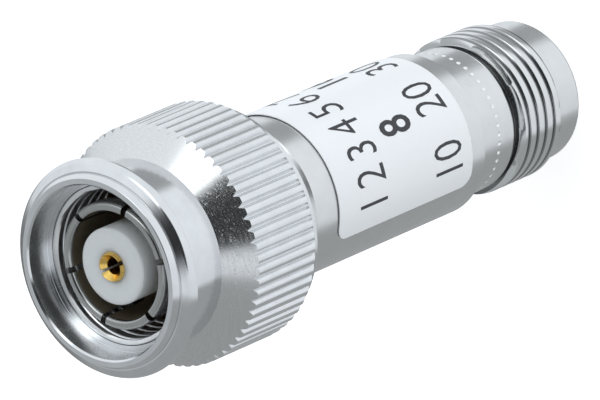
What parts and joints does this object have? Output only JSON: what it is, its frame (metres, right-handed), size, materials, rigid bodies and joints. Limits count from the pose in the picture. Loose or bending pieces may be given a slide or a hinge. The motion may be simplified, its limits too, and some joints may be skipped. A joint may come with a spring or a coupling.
{
  "type": "coaxial attenuator",
  "caption": "In-line coaxial attenuator: a round housing between a plug with a knurled coupling nut and a threaded jack, with a spring-finger contact and a label.",
  "frame": {"origin": "centre of the jack's end face, on which the part stands", "axes": "+Z along the connector's axis from the jack to the mouth of the coupling nut; the label's reading side is at -Y"},
  "size_m": [0.0168, 0.0168, 0.0453],
  "materials": {
    "nut_plating": "satin, brushed on the cone",
    "body_plating": "satin",
    "contact_plating": "bright plating",
    "spring_bronze": "plain",
    "gold_plating": "gold plating",
    "white_insulator": "smooth, slightly waxy",
    "seal_rubber": "matt",
    "label_film": "smooth film",
    "card_ceramic": "fired, matt",
    "film_silver": "printed silver",
    "film_resistor": "printed resistor paste"
  },
  "bodies": {
    "housing": {"nut_retaining_ring": "spring_bronze", "sealing_gasket": "seal_rubber", "plug_body": "body_plating", "plug_outer_contact": "contact_plating", "plug_insulator": "white_insulator", "plug_centre_contact": "gold_plating", "housing_sleeve": "body_plating", "rating_label": "label_film", "front_seal_ring": "seal_rubber", "rear_seal_ring": "seal_rubber", "front_shield_half": "contact_plating", "back_shield_half": "contact_plating", "attenuator_card": "card_ceramic", "input_electrode": "film_silver", "centre_electrode": "film_silver", "output_electrode": "film_silver", "ground_electrode_left": "film_silver", "ground_electrode_right": "film_silver", "series_resistor_in": "film_resistor", "series_resistor_out": "film_resistor", "shunt_resistor_left": "film_resistor", "shunt_resistor_right": "film_resistor", "jack_body": "body_plating", "jack_insulator": "white_insulator", "jack_centre_pin": "gold_plating"},
    "nut": {"coupling_nut": "nut_plating"}
  },
  "joints": [
    {"name": "nut_spin", "type": "hinge", "parent": "housing", "child": "nut", "pos_m": [0, 0, 0.0355], "axis": [0, 0, 1], "continuous": true}
  ]
}
